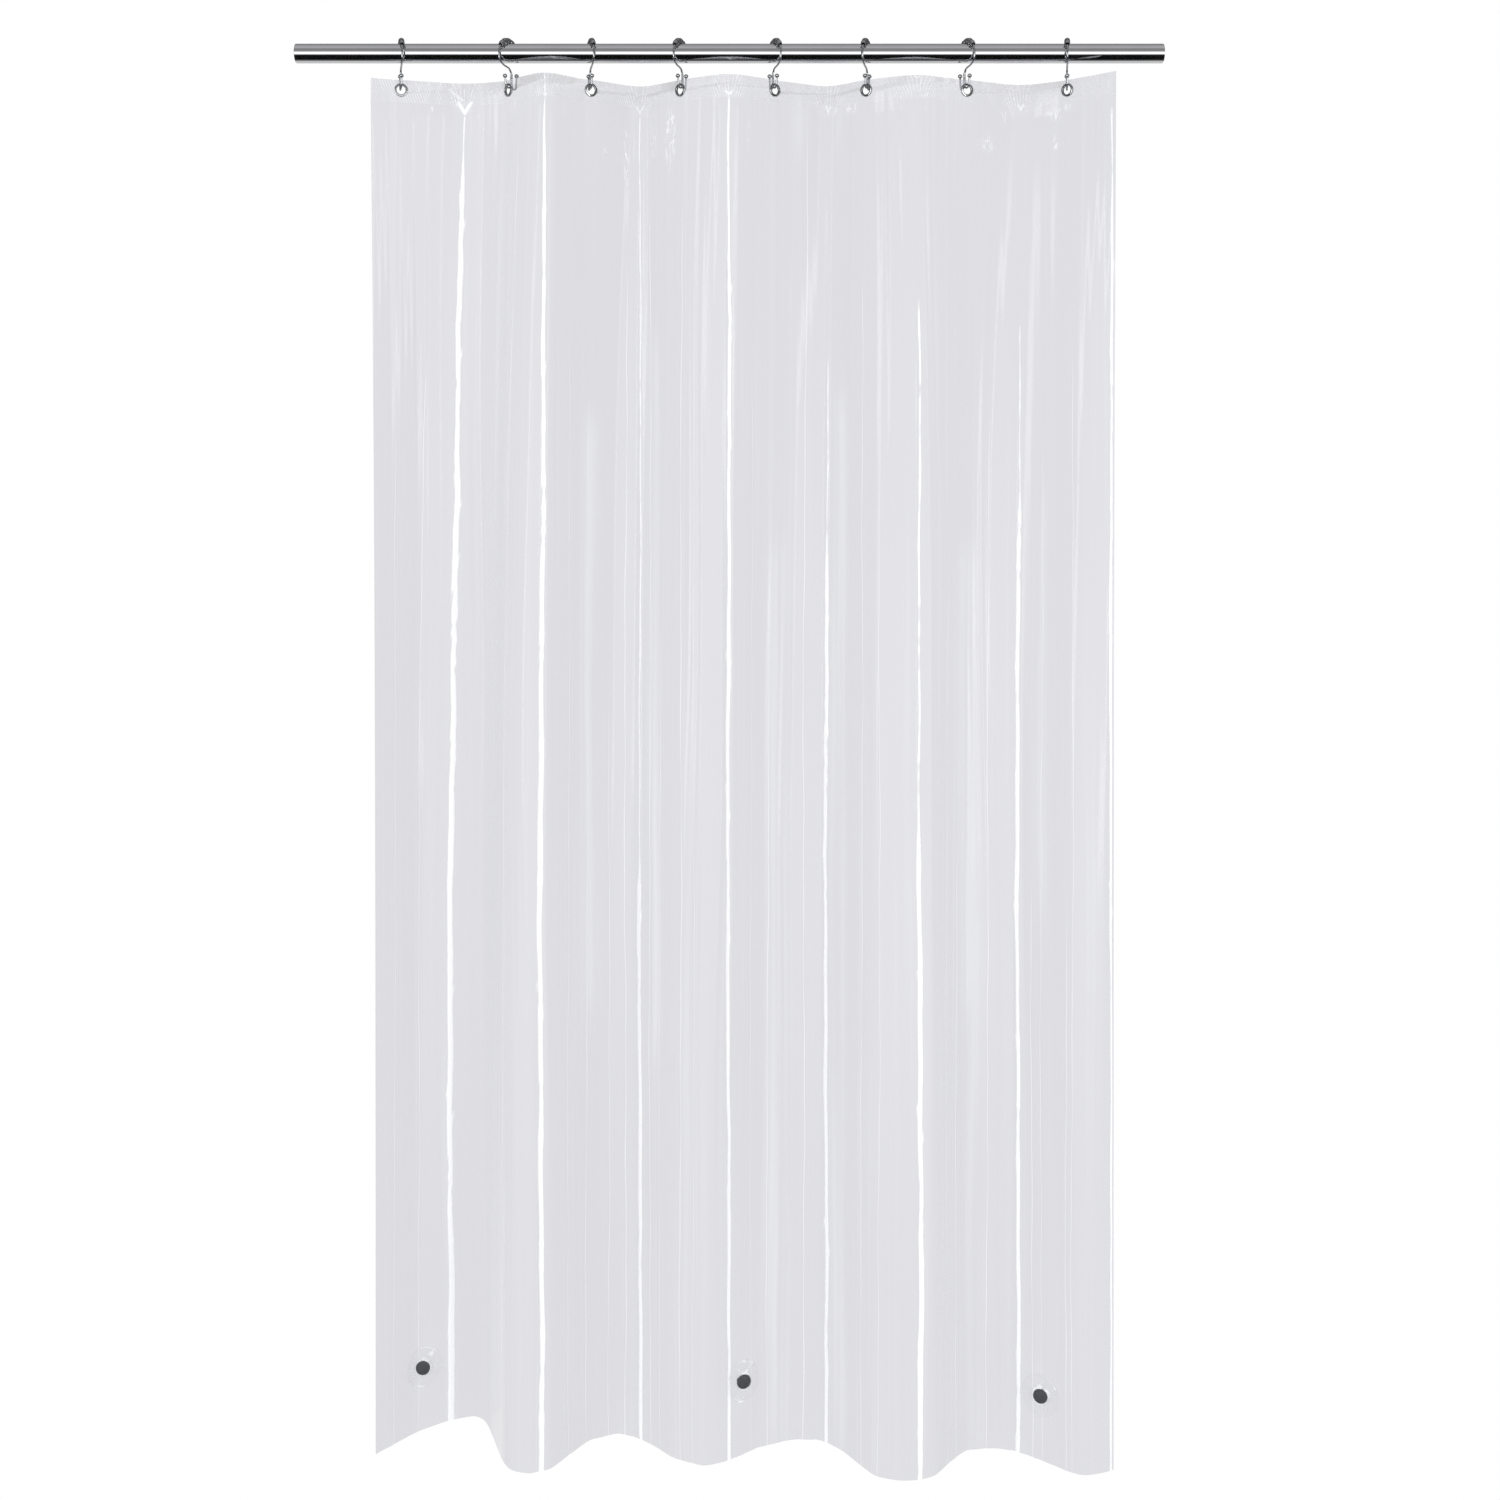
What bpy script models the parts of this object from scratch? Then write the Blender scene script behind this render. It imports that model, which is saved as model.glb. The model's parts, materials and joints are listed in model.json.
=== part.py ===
"""A clear shower curtain on a straight rod, hung from eight double roller hooks.

Every sub-part is one object at its real size, in metres, +Z up, with the origin in the middle of the
rod's axis. X runs along the rod, and -Y is the side that faces the room. The film hangs in a zigzag
of flat panels that fold at vertical creases. Each panel turns on its hook through one eyelet.
"""

import math

import bmesh
import bpy
from mathutils import Vector

# Rod: a plain round tube.
ROD_LENGTH = 1.157
ROD_RADIUS = 0.0127
ROD_WALL = 0.0012
ROD_SIDES = 32

# Film: the sheet as cut, and how it hangs.
FILM_LENGTH = 1.829
FILM_THICKNESS = 0.0004
EYELET_PITCH = 0.1524
LEFT_MARGIN = 0.040
RIGHT_MARGIN = 0.0762
EYELET_BELOW_EDGE = 0.0133
EYELET_BELOW_ROD_AXIS = 0.0487
# The angle to the rod of both halves of each fold, then of the film outside the first and last eyelets.
FOLD_ANGLES = tuple(math.radians(a) for a in (20.4, 43.4, 38.8, 33.7, 37.1, 27.8, 28.8))
LEFT_EDGE_ANGLE = math.radians(20.4)
RIGHT_EDGE_ANGLE = math.radians(45)
LEAD_HOOK = 4
LEAD_HOOK_X = -0.066
# How far each panel stays flat on either side of its eyelet.
FLAT_AT_EYELET = 0.011
CREASE_GAP = 0.0024

# Header band: a second layer welded behind the film's top edge.
BAND_HEIGHT = 0.029
BAND_THICKNESS = 0.0003
BAND_SHORT_OF_CREASE = 0.0037

# Eyelet: a flanged barrel, with a washer that its back end is rolled over.
EYELET_BORE_RADIUS = 0.00525
EYELET_BARREL_WALL = 0.0005
EYELET_FLANGE_WIDTH = 0.00305
EYELET_FLANGE_HEIGHT = 0.0006
EYELET_ROLL_WIDTH = 0.00085
EYELET_MOUTH = 0.0006
EYELET_ROLL_HEIGHT = 0.0003
WASHER_THICKNESS = 0.0004
EYELET_SIDES = 16
# The punch for the hole goes this far through the film and the band.
PUNCH_DEPTH = 0.006

# Hook: one wire over the rod and down to the front hook, a second wire for the back hook, ball tips.
WIRE_RADIUS = 0.0012
HOOK_YAW = tuple(math.radians(a) for a in (15, -27, 15, -22, 21, -17, 21, -9))
ARCH_OVER_ROLLERS = 0.00455
ARCH_REAR_END = math.radians(75)
ARCH_FRONT_END = math.radians(-95)
ARCH_POINTS = 13
NECK_Y = -0.0015
NECK_BELOW_ROD = 0.0049
NECK_SLOPE = -0.12
# How gradually the wire bends from the arch into the neck, out of the neck, and into the stem.
ARCH_EASE = 0.009
NECK_EASE = 0.005
STEM_EASE = 0.0045
STEM_TOP_Z = -0.027
FRONT_HOOK_RADIUS = 0.0062
REAR_HOOK_RADIUS = 0.0049
WELD_OVERLAP = 0.0005
WELD_TOP_Z = -0.0238
TIP_Z = -0.0287
TIP_SPREAD = 0.0013
TIP_BALL_RADIUS = 0.0029
BALL_RINGS = 6
# How far the eyelet's bore stands above the wire, so that it turns on the hook's bend without binding.
EYELET_PLAY = 0.0012

# Rollers: five beads threaded on the arch, with the top one on the rod.
BEAD_RADIUS = 0.00375
BEAD_END_WALL = 0.0005
BEAD_LENGTH = 0.0080
BEAD_COUNT = 5
BEAD_BORE_PLAY = 0.0011
# A bead is this share of its full radius halfway between its middle and its ends.
BEAD_SHOULDER = 0.93

# Magnets: discs sealed under round patches near the hem. Each is given by its panel, its distance
# along the film from that panel's eyelet, and its height over the hem.
MAGNET_RADIUS = 0.0095
MAGNET_THICKNESS = 0.0025
MAGNET_EDGE = 0.0003
MAGNETS = {"left": (1, 0.040, 0.087), "middle": (5, -0.0506, 0.0975), "right": (8, -0.038, 0.085)}
POCKET_RADIUS = 0.0245
POCKET_FILM = 0.0003
MAGNET_SIDES = 24

# The space kept between pieces that touch.
CLEARANCE = 0.0003

HOOKS = range(1, len(HOOK_YAW) + 1)
ARCH_RADIUS = ROD_RADIUS + BEAD_RADIUS + ARCH_OVER_ROLLERS
ARCH_DROP = ARCH_OVER_ROLLERS - CLEARANCE
NECK_Z = -(ROD_RADIUS + WIRE_RADIUS + NECK_BELOW_ROD)
BEAD_BORE_RADIUS = WIRE_RADIUS + BEAD_BORE_PLAY
BEAD_END_RADIUS = BEAD_BORE_RADIUS + BEAD_END_WALL
EYELET_Z = -EYELET_BELOW_ROD_AXIS
FILM_TOP = EYELET_Z + EYELET_BELOW_EDGE
FILM_BOTTOM = FILM_TOP - FILM_LENGTH
BARREL_RADIUS = EYELET_BORE_RADIUS + EYELET_BARREL_WALL
EYELET_HOLE_RADIUS = BARREL_RADIUS + CLEARANCE
EYELET_FLANGE_RADIUS = BARREL_RADIUS + EYELET_FLANGE_WIDTH
EYELET_ROLL_RADIUS = EYELET_HOLE_RADIUS + EYELET_ROLL_WIDTH
BAND_FRONT = -(FILM_THICKNESS / 2 + CLEARANCE)
BAND_BACK = BAND_FRONT - BAND_THICKNESS
WASHER_FRONT = BAND_BACK - CLEARANCE
WASHER_BACK = WASHER_FRONT - WASHER_THICKNESS
FILM_FACE = FILM_THICKNESS / 2 + CLEARANCE
EYELET_FRONT = FILM_FACE + EYELET_FLANGE_HEIGHT
EYELET_LIP = WASHER_BACK - CLEARANCE
EYELET_BACK = EYELET_LIP - EYELET_ROLL_HEIGHT
# The hook's bend runs through the middle of the eyelet's bore, a little behind the film.
FRONT_HOOK_Y = -(EYELET_FRONT + EYELET_BACK) / 2
STEM_Y = FRONT_HOOK_Y + FRONT_HOOK_RADIUS
HOOK_BOTTOM_Z = EYELET_Z + EYELET_BORE_RADIUS - WIRE_RADIUS - EYELET_PLAY


# ------------------------------------------------------------------------------ where the film runs


def fold_side(panel):
    """1 for a panel that runs away from the room as it goes along +X, -1 for one that comes back."""
    return 1 if panel % 2 else -1


def half_panel(panel, right):
    """(length, angle) of the film on one side of a panel's eyelet."""
    if right:
        last = panel == HOOKS[-1]
        return (RIGHT_MARGIN, RIGHT_EDGE_ANGLE) if last else (EYELET_PITCH / 2, FOLD_ANGLES[panel - 1])
    first = panel == HOOKS[0]
    return (LEFT_MARGIN, LEFT_EDGE_ANGLE) if first else (EYELET_PITCH / 2, FOLD_ANGLES[panel - 2])


def hook_x(hook):
    """Where a hook sits on the rod: each fold takes up its eyelet pitch times its angle's cosine."""
    spans = [EYELET_PITCH * math.cos(angle) for angle in FOLD_ANGLES]
    return LEAD_HOOK_X + sum(spans[LEAD_HOOK - 1 : hook - 1]) - sum(spans[hook - 1 : LEAD_HOOK - 1])


def panel_end(panel, right, short=0.0):
    """The plan position of a panel's left or right end, less the given length."""
    length, angle = half_panel(panel, right)
    way = 1 if right else -1
    along = way * (length - short)
    return Vector((hook_x(panel) + along * math.cos(angle), fold_side(panel) * along * math.sin(angle)))


def eyelet_angle(panel):
    """The angle to the rod of a panel's flat stretch at its eyelet, turned about +Z."""
    return fold_side(panel) * (half_panel(panel, True)[1] + half_panel(panel, False)[1]) / 2


def panel_line(panel, short):
    """A panel in plan: its left end, the two ends of the flat stretch at its eyelet, its right end."""
    angle = eyelet_angle(panel)
    flat = FLAT_AT_EYELET * Vector((math.cos(angle), math.sin(angle)))
    eyelet = Vector((hook_x(panel), 0))
    free_left, free_right = panel == HOOKS[0], panel == HOOKS[-1]
    left = panel_end(panel, False, 0.0 if free_left else short)
    right = panel_end(panel, True, 0.0 if free_right else short)
    return [left, eyelet - flat, eyelet + flat, right]


def hinge_point(panel):
    """The plan position of the axis that a panel turns about: its crease towards the lead hook."""
    if panel == LEAD_HOOK:
        return Vector((hook_x(panel), 0))
    return panel_end(panel, right=panel < LEAD_HOOK)


# ------------------------------------------------------------------------------- objects and meshes


def material(name, colour, roughness, metallic, alpha=1.0):
    made = bpy.data.materials.new(name)
    made.use_nodes = True
    shader = made.node_tree.nodes["Principled BSDF"]
    shader.inputs["Base Color"].default_value = (*colour, 1)
    shader.inputs["Roughness"].default_value = roughness
    shader.inputs["Metallic"].default_value = metallic
    shader.inputs["Alpha"].default_value = alpha
    made.diffuse_color = (*colour, alpha)
    return made


def add(name, data, collection, finish=None):
    obj = bpy.data.objects.new(name, data)
    collection.objects.link(obj)
    if finish:
        obj.data.materials.clear()
        obj.data.materials.append(finish)
    return obj


def shade(mesh):
    mesh.shade_smooth()
    mesh.set_sharp_from_angle(angle=math.radians(35))


def tube(name, points, radius, collection, radii=None):
    """A six-sided round wire along points, with an optional share of the radius at each."""
    curve = bpy.data.curves.new(name, "CURVE")
    curve.dimensions = "3D"
    curve.bevel_depth = radius
    curve.bevel_resolution = 1
    curve.use_fill_caps = True
    spline = curve.splines.new("POLY")
    spline.points.add(len(points) - 1)
    for i, (y, z) in enumerate(points):
        spline.points[i].co = (0, y, z, 1)
        spline.points[i].radius = radii[i] if radii else 1
    return add(name, curve, collection)


def to_mesh(obj):
    """The object's evaluated mesh with its doubles merged. The object itself is removed."""
    graph = bpy.context.evaluated_depsgraph_get()
    mesh = bpy.data.meshes.new_from_object(obj.evaluated_get(graph))
    shape = bmesh.new()
    shape.from_mesh(mesh)
    bmesh.ops.remove_doubles(shape, verts=shape.verts, dist=1e-6)
    bmesh.ops.recalc_face_normals(shape, faces=shape.faces)
    shape.to_mesh(mesh)
    shape.free()
    bpy.data.objects.remove(obj)
    return mesh


def combined(name, base, others, operation, collection):
    """One mesh from a Boolean of base with each of the others, all given as meshes at the origin."""
    body = add(name, base, collection)
    helpers = [add(f"{name}_{i}", mesh, collection) for i, mesh in enumerate(others)]
    for helper in helpers:
        boolean = body.modifiers.new(helper.name, "BOOLEAN")
        boolean.operation = operation
        boolean.object = helper
    mesh = to_mesh(body)
    for helper in helpers:
        bpy.data.objects.remove(helper)
    mesh.name = name
    shade(mesh)
    return mesh


def turned(name, profile, sides, collection, finish, closed=True):
    """A profile of (radius, height) points turned about the object's Z axis."""
    mesh = bpy.data.meshes.new(name)
    shape = bmesh.new()
    verts = [shape.verts.new((radius, 0, height)) for radius, height in profile]
    for a, b in zip(verts, verts[1:] + verts[:1] if closed else verts[1:]):
        shape.edges.new((a, b))
    shape.to_mesh(mesh)
    shape.free()
    obj = add(name, mesh, collection, finish)
    screw = obj.modifiers.new("turn", "SCREW")
    screw.steps = screw.render_steps = sides
    screw.use_merge_vertices = True
    screw.merge_threshold = 1e-6
    screw.use_smooth_shade = False
    return obj


def place(obj, parent, location, rotation=(0, 0, 0)):
    """Puts an object at a world location under an unturned parent."""
    obj.location = Vector(location)
    if parent:
        obj.parent = parent
        obj.location -= world_location(parent)
    obj.rotation_euler = rotation


def world_location(obj):
    found = Vector(obj.location)
    while obj.parent:
        obj = obj.parent
        found += Vector(obj.location)
    return found


def bezier(a, b, c, d, count):
    """count points on a cubic curve after its first point."""
    points = []
    for i in range(1, count + 1):
        t = i / count
        s = 1 - t
        points.append(s**3 * a + 3 * s * s * t * b + 3 * s * t * t * c + t**3 * d)
    return points


# ------------------------------------------------------------------------------------------- pieces


def make_rod(collection, finish):
    inner, half = ROD_RADIUS - ROD_WALL, ROD_LENGTH / 2
    profile = [(ROD_RADIUS, half), (ROD_RADIUS, -half), (inner, -half), (inner, half)]
    rod = turned("rod_tube", profile, ROD_SIDES, collection, finish)
    rod.rotation_euler = (0, math.pi / 2, 0)
    return rod


def on_arch(angle):
    return Vector((ARCH_RADIUS * math.sin(angle), ARCH_RADIUS * math.cos(angle) - ARCH_DROP))


def bend(centre_y, radius, count):
    """The half turn at the bottom of a hook, from its inner leg to its tip's leg, as (y, z) points."""
    centre = Vector((centre_y, HOOK_BOTTOM_Z + abs(radius)))
    turns = [math.pi * i / count for i in range(count + 1)]
    return [centre + Vector((radius * math.cos(t), -abs(radius) * math.sin(t))) for t in turns]


def front_wire():
    """The main wire: over the rod, down its front, under it to the stem, round the front hook."""
    step = (ARCH_FRONT_END - ARCH_REAR_END) / (ARCH_POINTS - 1)
    line = [on_arch(ARCH_REAR_END + step * i) for i in range(ARCH_POINTS)]
    neck, stem = Vector((NECK_Y, NECK_Z)), Vector((STEM_Y, STEM_TOP_Z))
    down = Vector((-math.cos(ARCH_FRONT_END), math.sin(ARCH_FRONT_END)))
    back = Vector((1, NECK_SLOPE))
    line += bezier(line[-1], line[-1] + ARCH_EASE * down, neck - ARCH_EASE * back, neck, 6)
    line += bezier(neck, neck + NECK_EASE * back, stem + Vector((0, STEM_EASE)), stem, 4)
    line += bend(FRONT_HOOK_Y, FRONT_HOOK_RADIUS, 8)
    return line + [Vector((STEM_Y - 2 * FRONT_HOOK_RADIUS - TIP_SPREAD, TIP_Z))]


def rear_wire():
    """The second wire: welded down the back of the stem and round the rear hook."""
    leg = STEM_Y + 2 * WIRE_RADIUS - WELD_OVERLAP
    line = [Vector((STEM_Y, WELD_TOP_Z)), Vector((leg, STEM_TOP_Z - WIRE_RADIUS))]
    line += bend(leg + REAR_HOOK_RADIUS, -REAR_HOOK_RADIUS, 8)
    return line + [Vector((leg + 2 * REAR_HOOK_RADIUS + TIP_SPREAD, TIP_Z))]


def balled(name, line, collection):
    """A wire along a line, upset into a ball round the line's last point."""
    centre = line[-1]
    along = (centre - line[-2]).normalized()
    start = math.asin(WIRE_RADIUS / TIP_BALL_RADIUS)
    turns = [start + (math.pi - 2 * start) * i / BALL_RINGS for i in range(BALL_RINGS + 1)]
    points = line[:-1] + [centre - TIP_BALL_RADIUS * math.cos(t) * along for t in turns]
    radii = [1] * (len(line) - 1) + [TIP_BALL_RADIUS * math.sin(t) / WIRE_RADIUS for t in turns]
    return to_mesh(tube(name, points, WIRE_RADIUS, collection, radii))


def hook_mesh(collection):
    front = balled("front_wire", front_wire(), collection)
    rear = balled("rear_wire", rear_wire(), collection)
    return combined("hook_wire", front, [rear], "UNION", collection)


def roller_mesh(collection):
    """Five barrel beads end to end along the arch, bored for the wire."""
    pitch = BEAD_LENGTH / ARCH_RADIUS
    waist = BEAD_END_RADIUS / BEAD_RADIUS
    shares = (waist, BEAD_SHOULDER, 1.0, BEAD_SHOULDER)
    count = BEAD_COUNT * len(shares)
    start = -BEAD_COUNT * pitch / 2
    line = [on_arch(start + i * pitch / len(shares)) for i in range(count + 1)]
    radii = [shares[i % len(shares)] for i in range(count + 1)]
    outer = to_mesh(tube("beads", line, BEAD_RADIUS, collection, radii))
    # The bore runs a quarter of a bead past both ends.
    steps = 2 * BEAD_COUNT + 1
    bore = [on_arch((i / steps - 0.5) * (BEAD_COUNT + 0.5) * pitch) for i in range(steps + 1)]
    inner = to_mesh(tube("bore", bore, BEAD_BORE_RADIUS, collection))
    return combined("rollers", outer, [inner], "DIFFERENCE", collection)


def eyelet_profile():
    """A domed flange on the film's front, the barrel, and its end rolled out behind the washer."""
    mouth = EYELET_BORE_RADIUS + EYELET_MOUTH
    return [
        (EYELET_BORE_RADIUS + 4 * EYELET_MOUTH, EYELET_FRONT),
        (EYELET_FLANGE_RADIUS, FILM_FACE),
        (BARREL_RADIUS, FILM_FACE),
        (BARREL_RADIUS, EYELET_LIP),
        (EYELET_ROLL_RADIUS, EYELET_LIP),
        (EYELET_ROLL_RADIUS - EYELET_ROLL_HEIGHT, EYELET_BACK),
        (mouth, EYELET_BACK),
        (EYELET_BORE_RADIUS, WASHER_BACK),
        (EYELET_BORE_RADIUS, FILM_FACE),
        (mouth, EYELET_FRONT),
    ]


def washer_profile():
    return [
        (EYELET_FLANGE_RADIUS, WASHER_FRONT),
        (EYELET_FLANGE_RADIUS, WASHER_BACK),
        (EYELET_HOLE_RADIUS, WASHER_BACK),
        (EYELET_HOLE_RADIUS, WASHER_FRONT),
    ]


def film_sheet(name, line, top, bottom, thickness, behind, origin, collection, finish):
    """A sheet that follows a plan line, its front face `behind` the film's middle, as a thin solid."""
    mesh = bpy.data.meshes.new(name)
    shape = bmesh.new()
    verts = []
    for i, point in enumerate(line):
        before = (point - line[i - 1]).normalized() if i else (line[1] - point).normalized()
        after = (line[i + 1] - point).normalized() if i + 1 < len(line) else before
        across = Vector((-(before + after).y, (before + after).x)).normalized()
        miter = across / across.dot(Vector((-before.y, before.x)))
        moved = point + behind * miter - origin
        verts.append([shape.verts.new((moved.x, moved.y, z)) for z in (bottom, top)])
    for (a, b), (c, d) in zip(verts, verts[1:]):
        shape.faces.new((a, c, d, b))
    shape.to_mesh(mesh)
    shape.free()
    obj = add(name, mesh, collection, finish)
    solid = obj.modifiers.new("thickness", "SOLIDIFY")
    solid.thickness = thickness
    solid.offset = 0
    solid.use_even_offset = True
    return obj


def hole_cutter(panel, collection):
    """The round punch that makes a panel's eyelet hole through the film and its header band."""
    mesh = bpy.data.meshes.new(f"punch_{panel}")
    shape = bmesh.new()
    bmesh.ops.create_cone(
        shape,
        cap_ends=True,
        segments=EYELET_SIDES,
        radius1=EYELET_HOLE_RADIUS,
        radius2=EYELET_HOLE_RADIUS,
        depth=PUNCH_DEPTH,
    )
    shape.to_mesh(mesh)
    shape.free()
    punch = add(mesh.name, mesh, collection)
    place(punch, None, (hook_x(panel), 0, EYELET_Z), (math.pi / 2, 0, eyelet_angle(panel)))
    punch.hide_render = True
    punch.display_type = "WIRE"
    return punch


def magnet_profile():
    edge, top = MAGNET_RADIUS - MAGNET_EDGE, MAGNET_THICKNESS
    return [(0, top), (edge, top), (MAGNET_RADIUS, top - MAGNET_EDGE), (MAGNET_RADIUS, 0), (0, 0)]


def pocket_profile():
    """A patch lying on the film with a raised lid over the magnet, open towards the film."""
    inside = MAGNET_RADIUS + CLEARANCE
    roof = MAGNET_THICKNESS + CLEARANCE
    return [
        (0, roof + POCKET_FILM),
        (inside + POCKET_FILM, roof + POCKET_FILM),
        (inside + 2 * POCKET_FILM, POCKET_FILM),
        (POCKET_RADIUS, POCKET_FILM),
        (POCKET_RADIUS, 0),
        (inside, 0),
        (inside, roof),
        (0, roof),
    ]


def magnet_place(panel, along, height):
    """The plan position and the turn of a magnet, on the half of the panel that it is sealed to."""
    left, flat_left, flat_right, right = panel_line(panel, CREASE_GAP / 2)
    a, b = (flat_right, right) if along > 0 else (flat_left, left)
    travelled = (abs(along) - FLAT_AT_EYELET) / (b - a).length
    point = a + (b - a) * travelled
    way = (b - a) if along > 0 else (a - b)
    return point, math.atan2(way.y, way.x)


def main():
    for obj in list(bpy.data.objects):
        bpy.data.objects.remove(obj)
    scene = bpy.context.scene.collection
    parts = bpy.data.collections.new("shower_curtain")
    cutters = bpy.data.collections.new("cutters")
    scene.children.link(parts)
    scene.children.link(cutters)

    chrome = material("rod_chrome", (0.62, 0.63, 0.65), 0.12, 1.0)
    steel = material("hook_steel", (0.55, 0.56, 0.58), 0.18, 1.0)
    bead = material("roller_metal", (0.60, 0.60, 0.62), 0.22, 1.0)
    ring = material("eyelet_metal", (0.58, 0.59, 0.60), 0.20, 1.0)
    film = material("clear_film", (0.74, 0.74, 0.78), 0.15, 0.0, 0.55)
    band = material("header_film", (0.76, 0.76, 0.80), 0.25, 0.0, 0.65)
    ferrite = material("magnet_ferrite", (0.06, 0.06, 0.065), 0.55, 0.2)

    make_rod(parts, chrome)
    wire, beads = hook_mesh(parts), roller_mesh(parts)
    wire.materials.append(steel)
    beads.materials.append(bead)

    panels = {}
    order = [LEAD_HOOK, *range(LEAD_HOOK + 1, len(HOOKS) + 1), *range(LEAD_HOOK - 1, 0, -1)]
    for number in order:
        hinge = hinge_point(number)
        punch = hole_cutter(number, cutters)
        line = panel_line(number, CREASE_GAP / 2)
        sheet = film_sheet(
            f"film_panel_{number}", line, FILM_TOP, FILM_BOTTOM, FILM_THICKNESS, 0, hinge, parts, film
        )
        line = panel_line(number, BAND_SHORT_OF_CREASE)
        middle = -(BAND_FRONT + BAND_BACK) / 2
        header = film_sheet(
            f"header_band_{number}",
            line,
            FILM_TOP,
            FILM_TOP - BAND_HEIGHT,
            BAND_THICKNESS,
            middle,
            hinge,
            parts,
            band,
        )
        for obj in (sheet, header):
            cut = obj.modifiers.new("eyelet_hole", "BOOLEAN")
            cut.operation = "DIFFERENCE"
            cut.object = punch
        towards = number - 1 if number > LEAD_HOOK else number + 1
        place(sheet, panels.get(towards) if number != LEAD_HOOK else None, (*hinge, 0))
        place(header, sheet, (*hinge, 0))
        panels[number] = sheet

        here = (hook_x(number), 0, EYELET_Z)
        facing = (math.pi / 2, 0, eyelet_angle(number))
        place(turned(f"eyelet_{number}", eyelet_profile(), EYELET_SIDES, parts, ring), sheet, here, facing)
        washer = turned(f"eyelet_{number}_washer", washer_profile(), EYELET_SIDES, parts, ring)
        place(washer, sheet, here, facing)

        yaw = (0, 0, HOOK_YAW[number - 1])
        hook = add(f"hook_{number}_wire", wire, parts)
        place(hook, None if number == LEAD_HOOK else sheet, (hook_x(number), 0, 0), yaw)
        rollers = add(f"hook_{number}_rollers", beads, parts)
        place(rollers, None if number == LEAD_HOOK else sheet, (hook_x(number), 0, 0), yaw)

    for side, (number, along, height) in MAGNETS.items():
        point, angle = magnet_place(number, along, height)
        facing = (math.pi / 2, 0, angle)
        normal = Vector((math.sin(angle), -math.cos(angle)))
        seat = point + normal * FILM_FACE
        magnet = turned(f"magnet_{side}", magnet_profile(), MAGNET_SIDES, parts, ferrite, closed=False)
        place(magnet, panels[number], (*seat, FILM_BOTTOM + height), facing)
        pocket = turned(f"magnet_pocket_{side}", pocket_profile(), MAGNET_SIDES, parts, film, closed=False)
        place(pocket, panels[number], (*seat, FILM_BOTTOM + height), facing)


main()
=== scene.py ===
"""A clear film shower curtain with a chromed rod, double roller hooks, eyelets and hem magnets."""

import json
import math

import bmesh
import bpy
import numpy as np
from mathutils import Matrix, Vector, noise


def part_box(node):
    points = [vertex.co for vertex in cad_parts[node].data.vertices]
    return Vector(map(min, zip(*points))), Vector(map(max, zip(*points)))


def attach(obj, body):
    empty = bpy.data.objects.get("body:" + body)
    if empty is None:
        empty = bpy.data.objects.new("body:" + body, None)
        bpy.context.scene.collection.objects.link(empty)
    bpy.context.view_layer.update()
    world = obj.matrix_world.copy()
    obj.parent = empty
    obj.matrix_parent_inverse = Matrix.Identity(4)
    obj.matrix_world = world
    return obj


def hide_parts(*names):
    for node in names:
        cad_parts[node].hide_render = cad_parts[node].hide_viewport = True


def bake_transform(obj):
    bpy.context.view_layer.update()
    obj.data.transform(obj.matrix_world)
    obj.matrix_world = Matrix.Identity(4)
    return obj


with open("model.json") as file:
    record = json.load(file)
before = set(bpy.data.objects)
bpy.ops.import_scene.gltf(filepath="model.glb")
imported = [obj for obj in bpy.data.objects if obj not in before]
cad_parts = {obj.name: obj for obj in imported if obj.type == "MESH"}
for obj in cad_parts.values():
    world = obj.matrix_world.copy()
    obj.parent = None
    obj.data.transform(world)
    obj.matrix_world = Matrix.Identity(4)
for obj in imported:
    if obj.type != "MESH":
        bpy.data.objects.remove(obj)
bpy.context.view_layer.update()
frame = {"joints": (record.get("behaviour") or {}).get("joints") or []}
joints = {joint["name"]: joint for joint in frame["joints"]}

# ---------------------------------------------------------------- camera
# A level view of the whole curtain from the room. The lens stands a third of the way down it, and its
# picture is shifted down to take in the hem, so that the film's edges stay upright.
camera = bpy.data.objects.new("camera", bpy.data.cameras.new("camera"))
bpy.context.scene.collection.objects.link(camera)
bpy.context.scene.camera = camera
camera.location = (0.0274, -2.3, -0.5427)
camera.rotation_euler = (math.pi / 2, 0, 0)
camera.data.lens = 41.35
camera.data.sensor_width = 36
camera.data.shift_y = -0.19333
camera.data.clip_start = 0.05
bpy.context.scene.view_settings.view_transform = "Standard"

# ---------------------------------------------------------------- studio
# The curtain hangs in even white light from all around, with a tall softbox on either side in front.
# Only polished metal sees the shaded parts of the studio.


class Number:
    """A shader's number socket, which can be added, taken away, multiplied and divided."""

    def __init__(self, finish, socket):
        self.finish, self.socket = finish, socket

    def worked(self, operation, first, second):
        return self.finish.add("Math", {"operation": operation}, {0: first, 1: second})

    def __add__(self, other):
        return self.worked("ADD", self, other)

    def __sub__(self, other):
        return self.worked("SUBTRACT", self, other)

    def __rsub__(self, other):
        return self.worked("SUBTRACT", other, self)

    def __mul__(self, other):
        return self.worked("MULTIPLY", self, other)

    def __truediv__(self, other):
        return self.worked("DIVIDE", self, other)

    def most(self, other):
        return self.worked("MAXIMUM", self, other)

    def least(self, other):
        return self.worked("MINIMUM", self, other)

    def size(self):
        return self.worked("ABSOLUTE", self, 0)

    def wave(self):
        return self.worked("SINE", self, 0)

    def rise(self, start, end):
        """0 before start, 1 after end, and smooth between."""
        sockets = {"Value": self, "From Min": start, "From Max": end}
        return self.finish.add("MapRange", {"interpolation_type": "SMOOTHSTEP"}, sockets)

    __radd__, __rmul__ = __add__, __mul__


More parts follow.
